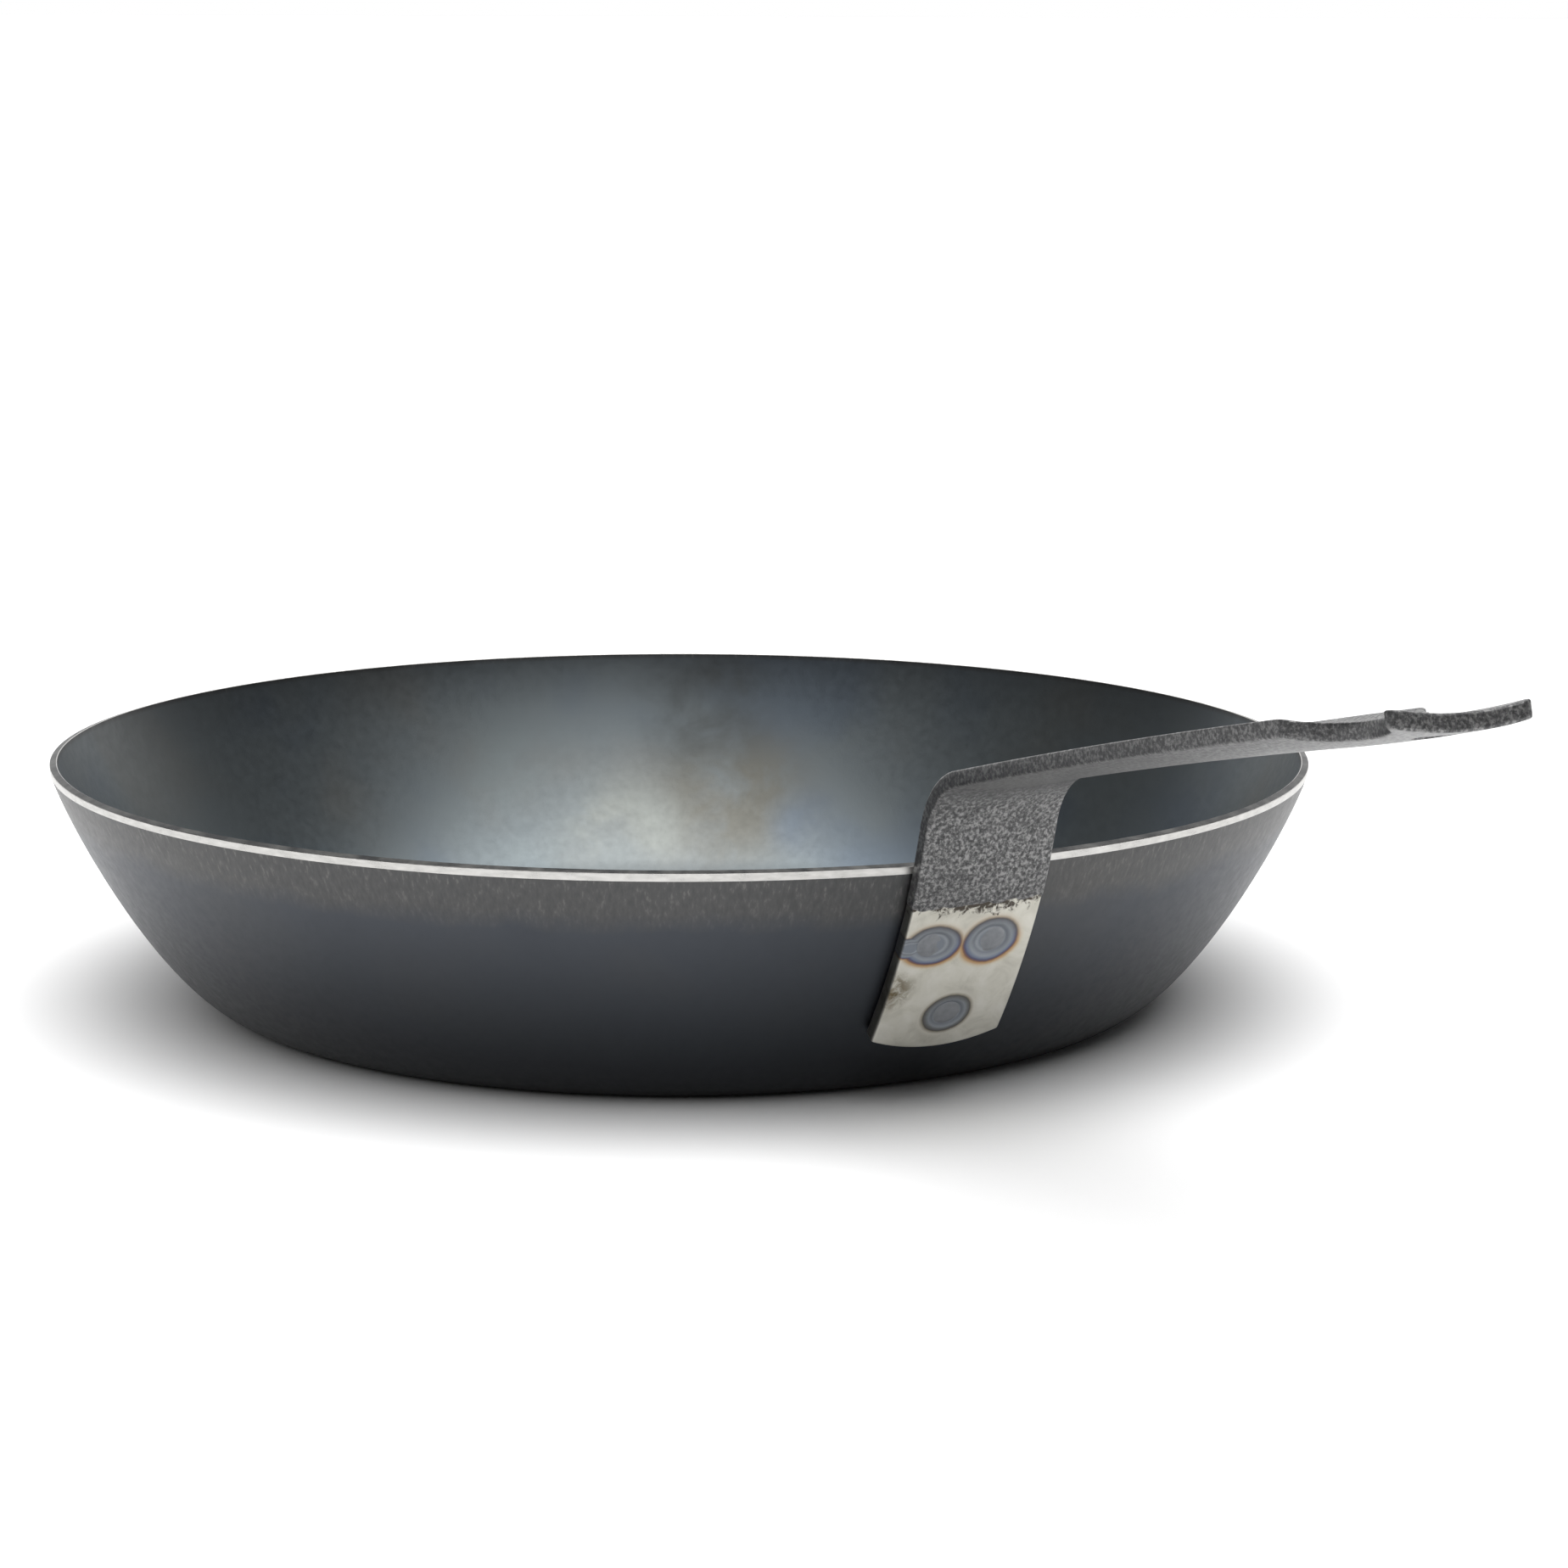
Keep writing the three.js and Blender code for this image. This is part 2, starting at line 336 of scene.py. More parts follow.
def pan_profile():
    """Radius, height, length below the rim and side of each ring, and where the rim's begin."""
    bevel = WALL_LENGTH - RIM_BEVEL_HEIGHT
    lengths = np.linspace(0, bevel, WALL_RINGS)
    base = [(BASE_RADIUS * share, 0.0) for share in np.linspace(0.05, 0.98, BASE_RINGS)]
    rings = [(r, z, WALL_LENGTH, OUTSIDE) for r, z in base]
    for length in lengths:
        radius, height, _ = wall_point(length, 0)
        rings.append((radius, height, WALL_LENGTH - length, OUTSIDE))
    first_rim = len(rings)
    for run, inwards in [
        (WALL_LENGTH - RIM_ROUND, RIM_BEVEL_DEPTH - 0.3 * RIM_ROUND),
        (WALL_LENGTH, RIM_BEVEL_DEPTH + 0.8 * RIM_ROUND),
        (WALL_LENGTH, SHEET - RIM_CORNER),
        (WALL_LENGTH - RIM_CORNER, SHEET),
    ]:
        radius, height, _ = wall_point(run, inwards)
        rings.append((radius, height, 0.0, OUTSIDE))
    for length in lengths[::-1]:
        radius, height, _ = wall_point(length, SHEET)
        rings.append((radius, height, WALL_LENGTH - length, INSIDE))
    rings += [(r, SHEET, WALL_LENGTH, INSIDE) for r, _ in base[::-1]]
    return rings, first_rim


def make_pan(steel, rim, edge):
    rings, first_rim = pan_profile()
    angles = np.arange(ROUND_STEPS) * 2 * math.pi / ROUND_STEPS
    vertices = [
        (radius * math.cos(angle), radius * math.sin(angle), height)
        for radius, height, _, _ in rings
        for angle in angles
    ]
    faces = []
    for ring in range(len(rings) - 1):
        for step in range(ROUND_STEPS):
            other = (step + 1) % ROUND_STEPS
            low, high = ring * ROUND_STEPS, (ring + 1) * ROUND_STEPS
            faces.append((low + step, low + other, high + other, high + step))
    bottom, top = len(vertices), len(vertices) + 1
    vertices += [(0, 0, 0), (0, 0, SHEET)]
    last = (len(rings) - 1) * ROUND_STEPS
    for step in range(ROUND_STEPS):
        other = (step + 1) % ROUND_STEPS
        faces.append((bottom, other, step))
        faces.append((top, last + step, last + other))
    pan = new_piece("pan", vertices, faces, ["pan_body"], sharp=12)
    below = [ring[2] for ring in rings for _ in angles] + [WALL_LENGTH] * 2
    sides = [ring[3] for ring in rings for _ in angles] + [OUTSIDE, INSIDE]
    set_attribute(pan.data, "below_rim", below)
    set_attribute(pan.data, "inside", sides)
    pan.data.materials.append(steel)
    pan.data.materials.append(rim)
    pan.data.materials.append(edge)
    shown = {first_rim - 1: GROUND, first_rim: GROUND, first_rim + 1: EDGE, first_rim + 2: GROUND}
    for index, polygon in enumerate(pan.data.polygons):
        polygon.material_index = shown.get(index // ROUND_STEPS, STEEL)


# ---- The handle ----------------------------------------------------------------------------

TANG_ROWS, TANG_COLUMNS = 110, 80
BEND_ROWS = NECK_ROWS = 70
HANDLE_COLUMNS = 28
CORNER_STEPS = 4
HOLE_STEPS = 64
FLARE_STEPS = 6
WELD_STEPS = 48


def strap_loop(half, inset, columns):
    """The strip's section as (side, depth) pairs: a rectangle with rounded corners."""
    curve = EDGE_ROUND
    flat = half - inset - curve
    deep = STRAP - inset
    turns = [math.pi / 2 * step / CORNER_STEPS for step in range(1, CORNER_STEPS)]
    loop = [(flat * (2 * step / columns - 1), inset) for step in range(columns + 1)]
    loop += [(flat + curve * math.sin(a), inset + curve * (1 - math.cos(a))) for a in turns]
    loop += [(flat + curve, inset + curve + (deep - inset - 2 * curve) * s / 3) for s in range(4)]
    loop += [(flat + curve * math.cos(a), deep - curve * (1 - math.sin(a))) for a in turns]
    return loop + [(-side, deep + inset - depth) for side, depth in loop]


def crater(distance, side):
    """How far the outer face is pressed in at a place on the tang, by the weld electrodes."""
    pressed = 0.0
    for _, down, across, reach_side, reach_along in WELDS:
        away = math.hypot(
            (side - across) * CRATER_RADIUS / (reach_side * CRATER_ACROSS),
            (distance + down) * CRATER_RADIUS / (reach_along * CRATER_ALONG),
        )
        edge = (CRATER_RADIUS - away) / CRATER_EDGE
        pressed += CRATER_DEPTH / (1 + math.exp(-4 * edge))
        ring = (away - LIP_PLACE * CRATER_RADIUS) / LIP_WIDTH
        pressed -= LIP_HEIGHT * math.exp(-ring * ring)
    return pressed


def make_strap(name, rows, columns, inset, edge_of, replaced, craters):
    """Lofts the strip through its rows, each a distance and an extra inset for round ends."""
    vertices, places = [], []
    for distance, extra in rows:
        half = half_width(distance)
        loop = strap_loop(half, inset + extra, columns)
        loops = len(loop)
        for side, depth in loop:
            along = edge_of(distance, side)
            if craters and depth > STRAP * 0.8:
                depth -= crater(along, side)
            vertices.append(strap_point(along, side, depth))
            places.append((along, side, depth))
    faces = []
    for row in range(len(rows) - 1):
        for step in range(loops):
            other = (step + 1) % loops
            low, high = row * loops, (row + 1) * loops
            faces.append((low + step, low + other, high + other, high + step))
    half_loop = loops // 2
    last = (len(rows) - 1) * loops
    side_count = half_loop - columns - 1
    for base, flip in ((0, False), (last, True)):
        for step in range(columns):
            near = base + step
            far = base + half_loop + columns - step
            quad = (near, near + 1, far - 1, far)
            faces.append(quad[::-1] if flip else quad)
        right = [base + columns + step for step in range(side_count + 1)] + [base + half_loop]
        left = [base + half_loop + columns + step for step in range(side_count + 1)] + [base]
        faces.append(tuple(right))
        faces.append(tuple(left))
    piece = new_piece(name, vertices, faces, replaced, sharp=50)
    set_attribute(piece.data, "place", places)
    return piece


def round_end(end, towards, radius):
    """Rows that close an end with a rounded edge, from its face inwards."""
    rows = []
    for step in range(CORNER_STEPS, -1, -1):
        angle = math.pi / 2 * step / CORNER_STEPS
        rows.append((end + towards * radius * (1 - math.sin(angle)), radius * (1 - math.cos(angle))))
    return rows


def tang_place(distance, side):
    """The tang's lower end is bowed, and the rows above it straighten out."""
    fade = 1 - min(1, max(0, (distance + TANG_LENGTH) / TANG_FADE))
    return distance - TANG_SAG * (1 - (side / STRAP_HALF) ** 2) * fade


def coating_place(distance, side):
    """The coating's lower edge is ragged, and the rows above it straighten out."""
    fade = 1 - min(1, max(0, (distance - COATING_END) / COATING_EDGE_FADE))
    moved = side * COATING_EDGE_LEAN
    for waves, start, height in COATING_EDGE_WAVES:
        moved += noise.noise(Vector((side * waves, start, 0))) * height
    return distance + moved * fade


def make_tang(material):
    """The bare part of the strip. It runs on under the coating's edge."""
    start = -TANG_LENGTH
    hidden_end = COATING_END + 2 * MM
    rows = round_end(start, 1, EDGE_ROUND)
    rows += [(d, 0.0) for d in np.linspace(start + 1.1 * EDGE_ROUND, hidden_end, TANG_ROWS)]
    rows.append((hidden_end + 0.3 * MM, 0.0))
    tang = make_strap(
        "handle_bare_tang",
        rows,
        TANG_COLUMNS,
        COATING,
        tang_place,
        ["strap_handle"],
        craters=True,
    )
    tang.data.materials.append(material)


def make_handle(material):
    """The coated part of the strip, from the coating's thin edge to the tip."""
    lip = [
        (COATING_END, COATING * 1.05),
        (COATING_END + 0.12 * MM, COATING * 0.5),
        (COATING_END + 0.4 * MM, 0),
    ]
    upper = [(d, 0.0) for d in np.linspace(COATING_END + 0.8 * MM, BEND_END, BEND_ROWS)]
    neck = [(d, 0.0) for d in np.linspace(BEND_END, NECK_END, NECK_ROWS)][1:]
    head = [(float(d), 0.0) for d in OUTLINE[:, 0] if NECK_END < d < TIP - EDGE_ROUND]
    tip = round_end(TIP, -1, EDGE_ROUND)[::-1]
    handle = make_strap(
        "handle_coated",
        lip + upper + neck + head + tip,
        HANDLE_COLUMNS,
        0.0,
        coating_place,
        ["strap_handle"],
        craters=False,
    )
    handle.data.materials.append(material)
    cut_hole(handle)


def cut_hole(handle):
    """Drills the hanging hole with a cutter that flares at both faces, for rounded edges."""
    top = strap_point(TIP - HOLE_FROM_TIP, 0, 0)
    under = strap_point(TIP - HOLE_FROM_TIP, 0, STRAP)
    along = (under - top).normalized()
    depths = [(-2 * MM, HOLE_RADIUS + 2 * HOLE_FLARE)]
    for step in range(FLARE_STEPS + 1):
        rise = math.sin(math.pi / 2 * step / FLARE_STEPS)
        depths.append((HOLE_FLARE * (2 * rise - 1), HOLE_RADIUS + HOLE_FLARE * (1 - rise)))
    depths += [(STRAP - depth, radius) for depth, radius in depths[::-1]]
    cutter = bmesh.new()
    turn = along.to_track_quat("Z", "Y").to_matrix()
    rings = []
    for depth, radius in depths:
        ring = []
        for step in range(HOLE_STEPS):
            angle = 2 * math.pi * step / HOLE_STEPS
            spot = Vector((radius * math.cos(angle), radius * math.sin(angle), depth))
            ring.append(cutter.verts.new(top + turn @ spot))
        rings.append(ring)
    for low, high in zip(rings, rings[1:]):
        for step in range(HOLE_STEPS):
            other = (step + 1) % HOLE_STEPS
            cutter.faces.new((low[step], low[other], high[other], high[step]))
    cutter.faces.new(rings[0][::-1])
    cutter.faces.new(rings[-1])
    bmesh.ops.recalc_face_normals(cutter, faces=cutter.faces)
    mesh = bpy.data.meshes.new("hole_cutter")
    cutter.to_mesh(mesh)
    cutter.free()
    tool = bpy.data.objects.new("hole_cutter", mesh)
    bpy.context.collection.objects.link(tool)
    boolean = handle.modifiers.new("hole", "BOOLEAN")
    boolean.operation = "DIFFERENCE"
    boolean.solver = "EXACT"
    boolean.object = tool
    apply_modifiers(handle)
    bpy.data.objects.remove(tool)


def make_weld(name, down, across, material):
    """A shallow lens of weld metal that shows in the crater and reaches into the pan's wall."""
    radius = CRATER_RADIUS * 1.02
    face = strap_point(-down, across, STRAP - COATING)
    root = strap_point(-down, across, -JOINT_GAP - SHEET / 2)
    into = (root - face).normalized()
    depth = (root - face).length
    turn = into.to_track_quat("Z", "Y").to_matrix()
    rings = [(0.0, CRATER_DEPTH * 0.80), (0.35, CRATER_DEPTH * 0.84), (0.6, CRATER_DEPTH * 0.74)]
    rings += [(0.74, CRATER_DEPTH * 0.92), (0.9, CRATER_DEPTH * 0.98), (1.0, CRATER_DEPTH * 1.5)]
    rings += [(0.97, depth * 0.6), (0.8, depth * 0.95), (0.0, depth)]
    vertices, faces = [], []
    for share, level in rings[1:-1]:
        for step in range(WELD_STEPS):
            angle = 2 * math.pi * step / WELD_STEPS
            spot = Vector((share * radius * math.cos(angle), share * radius * math.sin(angle), level))
            vertices.append(face + turn @ spot)
    for ring in range(len(rings) - 3):
        for step in range(WELD_STEPS):
            other = (step + 1) % WELD_STEPS
            low, high = ring * WELD_STEPS, (ring + 1) * WELD_STEPS
            faces.append((low + step, low + other, high + other, high + step))
    vertices.append(face + turn @ Vector((0, 0, rings[0][1])))
    vertices.append(face + turn @ Vector((0, 0, rings[-1][1])))
    centre, end = len(vertices) - 2, len(vertices) - 1
    last = (len(rings) - 3) * WELD_STEPS
    for step in range(WELD_STEPS):
        other = (step + 1) % WELD_STEPS
        faces.append((centre, other, step))
        faces.append((end, last + step, last + other))
    weld = new_piece(name.replace("weld_nugget", "spot_weld"), vertices, faces, [name])
    weld.data.materials.append(material)


# ---- Materials -----------------------------------------------------------------------------

# Clouds on the inside of the wall: degrees round to the right of the middle of the view's far
# side, height, reach, and colour.
INSIDE_STAINS = [
    (4, 20 * MM, 30 * MM, (0.140, 0.139, 0.124)),
    (1, 42 * MM, 24 * MM, (0.090, 0.098, 0.100)),
    (14, 14 * MM, 13 * MM, (0.135, 0.158, 0.182)),
    (-22, 20 * MM, 30 * MM, (0.175, 0.200, 0.205)),
    (-9, 12 * MM, 22 * MM, (0.215, 0.228, 0.215)),
    (118, 26 * MM, 40 * MM, (0.140, 0.130, 0.110)),
    (205, 18 * MM, 34 * MM, (0.120, 0.140, 0.175)),
]


class Shader:
    """A material's node tree, with short calls for the nodes that the materials share."""

    def __init__(self, name):
        self.material = bpy.data.materials.new(name)
        self.material.use_nodes = True
        self.tree = self.material.node_tree
        self.surface = self.tree.nodes["Principled BSDF"]

    def node(self, kind, **settings):
        made = self.tree.nodes.new(kind)
        for key, value in settings.items():
            setattr(made, key, value)
        return made

    def feed(self, socket, value):
        if isinstance(value, bpy.types.NodeSocket):
            self.tree.links.new(value, socket)
        else:
            socket.default_value = value

    def position(self, stretch=(1, 1, 1)):
        coordinates = self.node("ShaderNodeTexCoord").outputs["Object"]
        mapping = self.node("ShaderNodeMapping")
        self.feed(mapping.inputs["Vector"], coordinates)
        mapping.inputs["Scale"].default_value = stretch
        return mapping.outputs["Vector"]

    def attribute(self, name, output="Fac"):
        return self.node("ShaderNodeAttribute", attribute_name=name).outputs[output]

    def noise(self, vector, size, detail=3, roughness=0.5, distortion=0.0):
        """Noise with blobs of about this size, in metres."""
        made = self.node("ShaderNodeTexNoise")
        self.feed(made.inputs["Vector"], vector)
        made.inputs["Scale"].default_value = 1 / size
        made.inputs["Detail"].default_value = detail
        made.inputs["Roughness"].default_value = roughness
        made.inputs["Distortion"].default_value = distortion
        return made.outputs["Fac"]

    def ramp(self, factor, stops, smooth=False):
        """A colour from (place, colour) stops."""
        made = self.node("ShaderNodeValToRGB")
        self.feed(made.inputs["Fac"], factor)
        made.color_ramp.interpolation = "EASE" if smooth else "LINEAR"
        elements = made.color_ramp.elements
        while len(elements) < len(stops):
            elements.new(0.5)
        for element, (place, colour) in zip(elements, stops):
            element.position = place
            element.color = (*colour, 1)
        return made.outputs["Color"]

    def between(self, value, low, high, start=0.0, end=1.0, smooth=False):
        """Goes from start to end as the value goes from low to high, and stays there."""
        made = self.node("ShaderNodeMapRange", clamp=True)
        made.interpolation_type = "SMOOTHSTEP" if smooth else "LINEAR"
        self.feed(made.inputs["Value"], value)
        for key, number in (("From Min", low), ("From Max", high), ("To Min", start), ("To Max", end)):
            self.feed(made.inputs[key], number)
        return made.outputs["Result"]

    def math(self, operation, first, second=0.0):
        made = self.node("ShaderNodeMath", operation=operation)
        self.feed(made.inputs[0], first)
        self.feed(made.inputs[1], second)
        return made.outputs["Value"]

    def mix(self, factor, first, second):
        made = self.node("ShaderNodeMix", data_type="RGBA")
        self.feed(made.inputs["Factor"], factor)
        for socket, value in ((made.inputs[6], first), (made.inputs[7], second)):
            self.feed(socket, (*value, 1) if isinstance(value, tuple) else value)
        return made.outputs[2]

    def bump(self, height, distance, strength):
        made = self.node("ShaderNodeBump")
        self.feed(made.inputs["Height"], height)
        made.inputs["Distance"].default_value = distance
        made.inputs["Strength"].default_value = strength
        self.feed(self.surface.inputs["Normal"], made.outputs["Normal"])

    def finish(self, colour, roughness, metallic):
        self.feed(self.surface.inputs["Base Color"], colour)
        self.feed(self.surface.inputs["Roughness"], roughness)
        self.feed(self.surface.inputs["Metallic"], metallic)
        return self.material


def stain(shader, position, turn, height, reach):
    """A cloud on the inside of the wall, this far round to the right of the view's middle."""
    run = float(np.interp(height, WALL[:, 1], WALL_RUN))
    radius, level, _ = wall_point(run, SHEET)
    middle = turned(radius * math.sin(turn), radius * math.cos(turn), level)
    away = shader.node("ShaderNodeVectorMath", operation="DISTANCE")
    shader.feed(away.inputs[0], position)
    away.inputs[1].default_value = middle
    return shader.between(away.outputs["Value"], 0.25 * reach, reach, 1.0, 0.0, smooth=True)


def blued_outside(shader, below, cloud, patch, streak):
    """Slate blue with painted shade that darkens it towards the base, and a scuffed brown band under the
    rim.
    """
    colour = shader.ramp(
        cloud,
        [(0.30, (0.058, 0.063, 0.073)), (0.55, (0.069, 0.075, 0.086)), (0.75, (0.078, 0.081, 0.087))],
    )
    # painted shade: the colour darkens from 8 mm below the rim down to the base
    depth = shader.between(below, 8 * MM, 52 * MM, 0.0, 0.85)
    colour = shader.mix(depth, colour, (0.024, 0.027, 0.032))
    ragged = shader.math("ADD", below, shader.between(patch, 0.3, 0.7, -2 * MM, 2 * MM))
    band = shader.between(ragged, 9 * MM, 14 * MM, 0.75, 0.0)
    brown = shader.ramp(streak, [(0.34, (0.080, 0.079, 0.077)), (0.66, (0.105, 0.103, 0.099))])
    colour = shader.mix(band, colour, brown)
    scuffs = shader.math(
        "MULTIPLY",
        shader.between(streak, 0.58, 0.70),
        shader.between(below, 2 * MM, 14 * MM, 0.35, 0.0),
    )
    return shader.mix(scuffs, colour, (0.22, 0.215, 0.205))


def blued_inside(shader, position, below, cloud, patch):
    """Slate blue with clouds, and painted shade on the floor and just under the rim."""
    colour = shader.ramp(
        cloud,
        [
            (0.34, (0.132, 0.158, 0.185)),
            (0.50, (0.160, 0.182, 0.192)),
            (0.66, (0.168, 0.180, 0.180)),
        ],
        smooth=True,
    )
    wobble = shader.between(patch, 0.40, 0.60, 0.3, 1.0)
    for turn, height, reach, stained in INSIDE_STAINS:
        cover = stain(shader, position, math.radians(turn), height, reach)
        colour = shader.mix(shader.math("MULTIPLY", cover, wobble), colour, stained)
    place = shader.node("ShaderNodeSeparateXYZ")
    shader.feed(place.inputs[0], position)
    # painted shade: the floor of the pan is darkened
    painted_floor_shade = shader.between(place.outputs["Z"], 2.2 * MM, 7 * MM, 0.65, 0.0)
    colour = shader.mix(painted_floor_shade, colour, (0.052, 0.058, 0.066))
    # painted shade: the inside is darkened just under the rim, standing in for its dark reflection
    painted_rim_shade = shader.between(below, 0.0, 14 * MM, 0.3, 0.0)
    return shader.mix(painted_rim_shade, colour, (0.085, 0.092, 0.102))


def blued_steel():
    shader = Shader("blued_steel")
    position = shader.position()
    below = shader.attribute("below_rim")
    cloud = shader.noise(position, 60 * MM, 3, 0.5, 0.2)
    patch = shader.noise(position, 18 * MM, 4, 0.55, 0.3)
    fine = shader.noise(position, 2.2 * MM, 4, 0.6)
    streak = shader.noise(shader.position((1, 1, 0.07)), 0.9 * MM, 3, 0.6)
    outside = blued_outside(shader, below, cloud, patch, streak)
    inside = blued_inside(shader, position, below, cloud, patch)
    colour = shader.mix(shader.attribute("inside"), outside, inside)
    roughness = shader.between(fine, 0.3, 0.7, 0.36, 0.44)
    shader.bump(shader.math("ADD", fine, streak), 0.015 * MM, 0.4)
    return shader.finish(colour, roughness, 0.95)


def ground_rim():
    """The bevel and corners of the rim, ground bright."""
    shader = Shader("ground_rim")
    marks = shader.noise(shader.position((1, 1, 3)), 3.0 * MM, 3, 0.5)
    colour = shader.ramp(marks, [(0.3, (0.46, 0.455, 0.44)), (0.7, (0.62, 0.61, 0.59))])
    shader.bump(marks, 0.02 * MM, 0.3)
    return shader.finish(colour, shader.between(marks, 0.3, 0.7, 0.26, 0.36), 1.0)


def rim_edge():
    """The flat top of the rim, ground smooth like the bevel, with a painted dark reflection in its
    colour.
    """
    shader = Shader("rim_edge")
    marks = shader.noise(shader.position(), 4.0 * MM, 3, 0.5)
    # painted reflection: the polished top is coloured dark for the dark room it reflects
    colour = shader.ramp(marks, [(0.35, (0.035, 0.036, 0.038)), (0.7, (0.13, 0.13, 0.125))])
    return shader.finish(colour, 0.4, 1.0)


def hammertone():
    """A speckled grey coating, with painted shade on the strip's sides and painted light underneath,
    where it is also more even.
    """
    shader = Shader("hammertone_coating")
    position = shader.position()
    cells = shader.noise(position, 0.75 * MM, 2, 0.5, 0.3)
    grain = shader.noise(position, 0.28 * MM, 2, 0.5)
    cloud = shader.noise(position, 16 * MM, 2, 0.5)
    speckle = shader.math("ADD", shader.math("MULTIPLY", cells, 0.7), shader.math("MULTIPLY", grain, 0.3))
    colour = shader.ramp(
        speckle,
        [(0.38, (0.048, 0.048, 0.049)), (0.50, (0.118, 0.118, 0.119)), (0.61, (0.285, 0.283, 0.280))],
    )
    colour = shader.mix(shader.between(cloud, 0.35, 0.7, 0.0, 0.25), colour, (0.085, 0.085, 0.086))
    facing = shader.node("ShaderNodeSeparateXYZ")
    shader.feed(facing.inputs[0], shader.node("ShaderNodeTexCoord").outputs["Normal"])
    # painted shade: faces turned sideways are darkened
    side = shader.between(shader.math("ABSOLUTE", facing.outputs["Y"]), 0.6, 0.95, 0.0, 0.5)
    colour = shader.mix(side, colour, (0.030, 0.030, 0.032))
    # painted light: faces turned downwards are lightened and evened out, as if lit from the pale floor
    under = shader.between(facing.outputs["Z"], -0.6, -0.9, 0.0, 0.5)
    colour = shader.mix(under, colour, (0.170, 0.170, 0.172))
    roughness = shader.between(cells, 0.35, 0.65, 0.42, 0.32)
    shader.bump(speckle, 0.08 * MM, 0.6)
    return shader.finish(colour, roughness, 0.6)


def weld_distance(shader, wobble):
    """How far a place on the tang is from its nearest weld: 1 is where its tint ends."""
    place = shader.node("ShaderNodeSeparateXYZ")
    shader.feed(place.inputs[0], shader.attribute("place", "Vector"))
    nearest = None
    tints = [weld[1:] for weld in WELDS] + [TINT_TAIL]
    for down, across, reach_side, reach_along in tints:
        along = shader.math("DIVIDE", shader.math("ADD", place.outputs["X"], down), reach_along)
        aside = shader.math("DIVIDE", shader.math("SUBTRACT", place.outputs["Y"], across), reach_side)
        squares = shader.math("ADD", shader.math("POWER", along, 2.0), shader.math("POWER", aside, 2.0))
        away = shader.math("SQRT", squares)
        nearest = away if nearest is None else shader.math("MINIMUM", nearest, away)
    return place, shader.math("ADD", nearest, wobble)


def weld_tint(shader, place, away):
    """Heat colours round the welds: full at the upper two, grey at the lower one."""
    reach = shader.math("MULTIPLY", away, 0.5)
    grey = [
        (0.00, (0.20, 0.22, 0.25)),
        (0.20, (0.19, 0.21, 0.24)),
        (0.25, (0.27, 0.29, 0.31)),
        (0.30, (0.16, 0.175, 0.20)),
        (0.37, (0.24, 0.26, 0.28)),
        (0.43, (0.15, 0.155, 0.16)),
        (0.475, (0.10, 0.095, 0.085)),
    ]
    plain = shader.ramp(reach, grey + [(0.51, (0.36, 0.33, 0.27)), (0.56, (0.58, 0.56, 0.50))])
    warm = shader.ramp(
        reach,
        grey[:5]
        + [
            (0.43, (0.17, 0.20, 0.27)),
            (0.465, (0.10, 0.10, 0.17)),
            (0.495, (0.20, 0.11, 0.085)),
            (0.525, (0.44, 0.28, 0.14)),
            (0.62, (0.60, 0.55, 0.43)),
        ],
    )
    upper = shader.between(place.outputs["X"], -27 * MM, -25 * MM)
    under = shader.between(place.outputs["X"], -18 * MM, -14 * MM, 1.0, 0.2)
    return shader.mix(shader.math("MULTIPLY", upper, under), plain, warm)


def left_smudge(shader, place, flakes):
    """A flaky smudge that spreads from the tang's left edge."""
    squares = []
    for axis, offset in (("X", SMUDGE_DOWN), ("Y", STRAP_HALF)):
        away = shader.math("MULTIPLY", shader.math("ADD", place.outputs[axis], offset), 1 / SMUDGE_REACH)
        squares.append(shader.math("POWER", away, 2.0))
    near = shader.between(shader.math("ADD", *squares), 0.1, 1.0, 1.0, 0.0)
    return shader.math("MULTIPLY", near, shader.between(flakes, 0.35, 0.6))


def bare_steel():
    """The uncoated tang: pale steel, heat tints, flakes of coating and painted shade on the side faces.
    """
    shader = Shader("bare_steel")
    position = shader.position()
    blotch = shader.noise(position, 7 * MM, 4, 0.6, 0.5)
    fine = shader.noise(position, 0.8 * MM, 3, 0.6)
    flakes = shader.noise(position, 2.0 * MM, 4, 0.65, 0.6)
    wobble = shader.math("MULTIPLY", shader.math("SUBTRACT", blotch, 0.5), 0.14)
    place, away = weld_distance(shader, wobble)
    colour = shader.ramp(
        blotch,
        [(0.30, (0.46, 0.445, 0.39)), (0.50, (0.59, 0.575, 0.51)), (0.7, (0.66, 0.645, 0.59))],
    )
    colour = shader.mix(shader.between(away, 1.1, 1.3, 1.0, 0.0), colour, weld_tint(shader, place, away))
    near_coating = shader.between(place.outputs["X"], COATING_END - 5 * MM, COATING_END, 0.0, 0.42)
    middle = shader.between(shader.math("ABSOLUTE", place.outputs["Y"]), 3 * MM, 12 * MM, 0.10, 0.0)
    flaked = shader.math("ADD", shader.math("ADD", flakes, near_coating), middle)
    specks = shader.between(flaked, 0.86, 0.98)
    colour = shader.mix(specks, colour, (0.07, 0.06, 0.05))
    colour = shader.mix(left_smudge(shader, place, flakes), colour, (0.16, 0.13, 0.08))
    # painted shade: the strip's side faces and their rounded edges are darkened
    side = shader.math("ABSOLUTE", place.outputs["Y"])
    shade = shader.between(side, STRAP_HALF - EDGE_ROUND * 0.9, STRAP_HALF - EDGE_ROUND * 0.4, 0.0, 0.88)
    colour = shader.mix(shade, colour, (0.035, 0.034, 0.032))
    roughness = shader.between(fine, 0.3, 0.7, 0.32, 0.42)
    shader.bump(fine, 0.03 * MM, 0.5)
    return shader.finish(colour, roughness, 0.85)


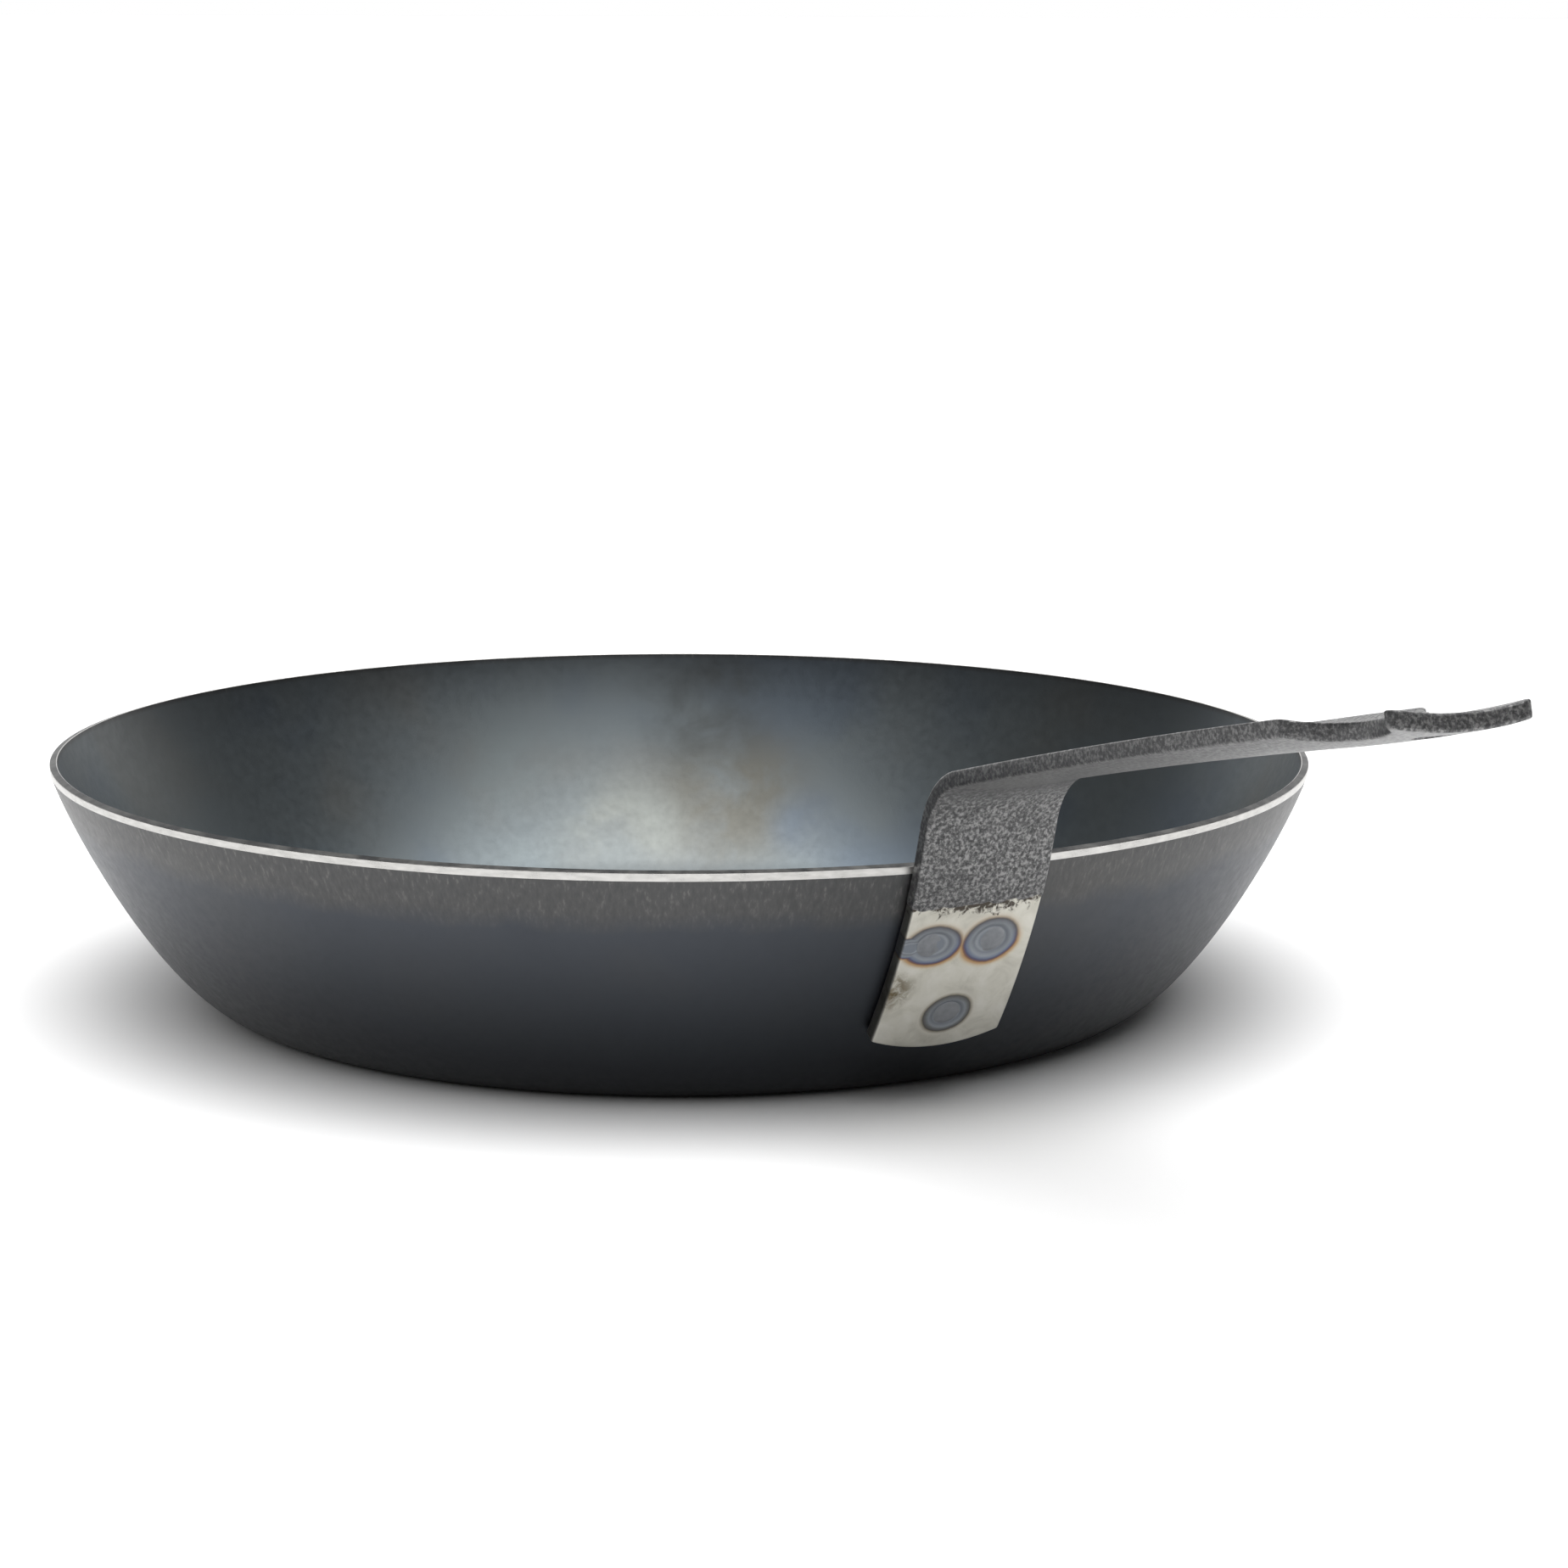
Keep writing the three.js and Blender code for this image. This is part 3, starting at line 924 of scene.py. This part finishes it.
def weld_steel():
    shader = Shader("weld_steel")
    fine = shader.noise(shader.position(), 1.6 * MM, 3, 0.5)
    colour = shader.ramp(fine, [(0.3, (0.185, 0.195, 0.21)), (0.7, (0.245, 0.255, 0.27))])
    shader.bump(fine, 0.02 * MM, 0.3)
    return shader.finish(colour, shader.between(fine, 0.3, 0.7, 0.34, 0.46), 0.85)


# ---- Floor and light -----------------------------------------------------------------------

FLOOR_REACH = 60.0
BACKDROP = 1.0  # brightness of the world behind the pan
ROOM = 0.10  # brightness of the rest of it
SOFTBOX = 3.2  # brightness of the softbox
SOFTBOX_RIGHT, SOFTBOX_FRONT = 0.06, 0.07  # its middle, as parts of a unit direction
SOFTBOX_WIDE, SOFTBOX_DEEP = 0.46, 0.50  # its half-size, likewise
FILL_POWER = 1.8
FILL_SPREAD = math.radians(100)
FILL_FROM = (-0.3, -0.25, 1.0)  # towards the light, as right, behind and up


def make_stage():
    signs = [(-1, -1), (1, -1), (1, 1), (-1, 1)]
    corners = [(x * FLOOR_REACH, y * FLOOR_REACH, 0) for x, y in signs]
    mesh = bpy.data.meshes.new("floor")
    mesh.from_pydata(corners, [], [(0, 1, 2, 3)])
    floor = bpy.data.objects.new("floor", mesh)
    shader = Shader("pale_floor")
    floor.data.materials.append(shader.finish((0.86, 0.86, 0.86, 1), 0.9, 0.0))
    bpy.context.collection.objects.link(floor)


def make_world():
    """A dim room, a bright backdrop and a softbox overhead. The camera itself sees plain white."""
    world = bpy.data.worlds.new("world")
    bpy.context.scene.world = world
    world.use_nodes = True
    tree = world.node_tree

    def node(kind, **settings):
        made = tree.nodes.new(kind)
        for key, value in settings.items():
            setattr(made, key, value)
        return made

    def along(direction, offset, scale):
        """How far the looked-at direction lies along another one, moved and scaled."""
        dot = node("ShaderNodeVectorMath", operation="DOT_PRODUCT")
        dot.inputs[1].default_value = direction
        tree.links.new(sky.outputs["Generated"], dot.inputs[0])
        scaled = node("ShaderNodeMath", operation="MULTIPLY_ADD")
        scaled.inputs[1].default_value = 1 / scale
        scaled.inputs[2].default_value = -offset / scale
        tree.links.new(dot.outputs["Value"], scaled.inputs[0])
        return scaled.outputs["Value"]

    def fade(value, low, high, start, end):
        made = node("ShaderNodeMapRange", interpolation_type="SMOOTHSTEP")
        for key, number in (("From Min", low), ("From Max", high), ("To Min", start), ("To Max", end)):
            made.inputs[key].default_value = number
        tree.links.new(value, made.inputs["Value"])
        return made.outputs["Result"]

    def join(operation, first, second):
        made = node("ShaderNodeMath", operation=operation)
        tree.links.new(first, made.inputs[0])
        tree.links.new(second, made.inputs[1])
        return made.outputs["Value"]

    sky = node("ShaderNodeTexCoord")
    room = fade(along(turned(0, 1, 0), 0.0, 1.0), 0.45, 0.85, ROOM, BACKDROP)
    right = along(turned(1, 0, 0), SOFTBOX_RIGHT, SOFTBOX_WIDE)
    front = along(turned(0, -1, 0), SOFTBOX_FRONT, SOFTBOX_DEEP)
    away = join("ADD", join("MULTIPLY", right, right), join("MULTIPLY", front, front))
    above = fade(along((0, 0, 1), 0.0, 1.0), 0.1, 0.5, 0.0, 1.0)
    softbox = join("MULTIPLY", fade(away, 0.25, 2.25, SOFTBOX, 0.0), above)
    light = join("ADD", room, softbox)
    rays = node("ShaderNodeLightPath")
    choice = node("ShaderNodeMix")
    choice.inputs[3].default_value = 1.0
    tree.links.new(rays.outputs["Is Camera Ray"], choice.inputs["Factor"])
    tree.links.new(light, choice.inputs[2])
    tree.links.new(choice.outputs[0], tree.nodes["Background"].inputs["Strength"])
    tree.nodes["Background"].inputs["Color"].default_value = (1, 1, 1, 1)


def make_light():
    """A very large soft fill from the upper left, kept out of reflections."""
    light = bpy.data.lights.new("fill", "SUN")
    light.energy = FILL_POWER
    light.angle = FILL_SPREAD
    lamp = bpy.data.objects.new("fill", light)
    lamp.rotation_mode = "QUATERNION"
    lamp.rotation_quaternion = (-turned(*FILL_FROM)).to_track_quat("-Z", "Y")
    lamp.visible_glossy = False
    bpy.context.collection.objects.link(lamp)
    bpy.context.scene.view_settings.view_transform = "Standard"


# ---- The scene -----------------------------------------------------------------------------

make_camera()
make_pan(blued_steel(), ground_rim(), rim_edge())
make_tang(bare_steel())
make_handle(hammertone())
weld_material = weld_steel()
for weld_name, weld_down, weld_across, _, _ in WELDS:
    make_weld(weld_name, weld_down, weld_across, weld_material)
make_stage()
make_world()
make_light()
